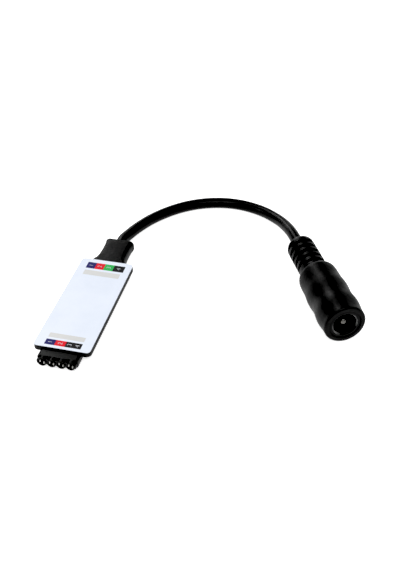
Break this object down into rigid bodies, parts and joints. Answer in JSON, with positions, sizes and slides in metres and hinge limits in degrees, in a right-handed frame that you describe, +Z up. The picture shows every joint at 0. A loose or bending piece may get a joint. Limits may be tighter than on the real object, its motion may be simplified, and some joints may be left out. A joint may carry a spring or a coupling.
{
  "type": "led strip controller",
  "caption": "Flat in-line light strip controller with a labelled case, a four-way pin socket and a short cable with a moulded power jack.",
  "frame": {"origin": "centre of the case's flat underside, which stands on the table", "axes": "+Z up; +Y along the case towards the cable; -Y the way the four-way socket faces; +X towards the jack"},
  "size_m": [0.0818, 0.0855, 0.012],
  "materials": {
    "case_plastic": "fine satin moulded black plastic",
    "label_film": "white printed film with coloured cells",
    "board": "green solder mask",
    "chip_resin": "dark moulded resin",
    "can_metal": "plain metal can",
    "wire_blue": "blue insulation",
    "ceramic": "fired ceramic",
    "socket_plastic": "satin black moulded plastic",
    "contact_metal": "tin-plated stamped metal",
    "soft_vinyl": "soft black moulded vinyl",
    "cable_vinyl": "smooth black vinyl sheath",
    "wire_red": "red insulation",
    "wire_black": "black insulation",
    "solder": "bright solder",
    "core_plastic": "black moulded insulator",
    "pin_metal": "nickel-plated turned pin",
    "leaf_metal": "plain stamped spring metal"
  },
  "bodies": {
    "controller": {"top_cover": "case_plastic", "bottom_cover": "case_plastic", "label": "label_film", "circuit_board": "board", "controller_chip": "chip_resin", "radio_chip": "chip_resin", "crystal": "can_metal", "antenna_wire": "wire_blue", "voltage_regulator": "chip_resin", "transistor_1": "chip_resin", "transistor_2": "chip_resin", "transistor_3": "chip_resin", "resistors": "chip_resin", "capacitors": "ceramic", "polarity_diode": "chip_resin", "output_socket": "socket_plastic", "socket_contact_1": "contact_metal", "socket_contact_2": "contact_metal", "socket_contact_3": "contact_metal", "socket_contact_4": "contact_metal", "strain_relief": "soft_vinyl", "cable_end": "cable_vinyl", "positive_wire": "wire_red", "negative_wire": "wire_black", "solder_joints": "solder", "cable": "cable_vinyl", "jack_body": "soft_vinyl", "jack_core": "core_plastic", "jack_centre_pin": "pin_metal", "jack_sleeve_terminal": "leaf_metal", "jack_cable_end": "cable_vinyl", "jack_positive_wire": "wire_red", "jack_negative_wire": "wire_black"},
    "spring_leaf": {"jack_spring_leaf": "leaf_metal"}
  },
  "joints": [
    {"name": "leaf_swing", "type": "hinge", "parent": "controller", "child": "spring_leaf", "pos_m": [0.06398, 0.01455, 0.00964], "axis": [-0.891, -0.454, 0], "range_deg": [0, 3], "stiffness_Nm_per_rad": 0.02}
  ]
}
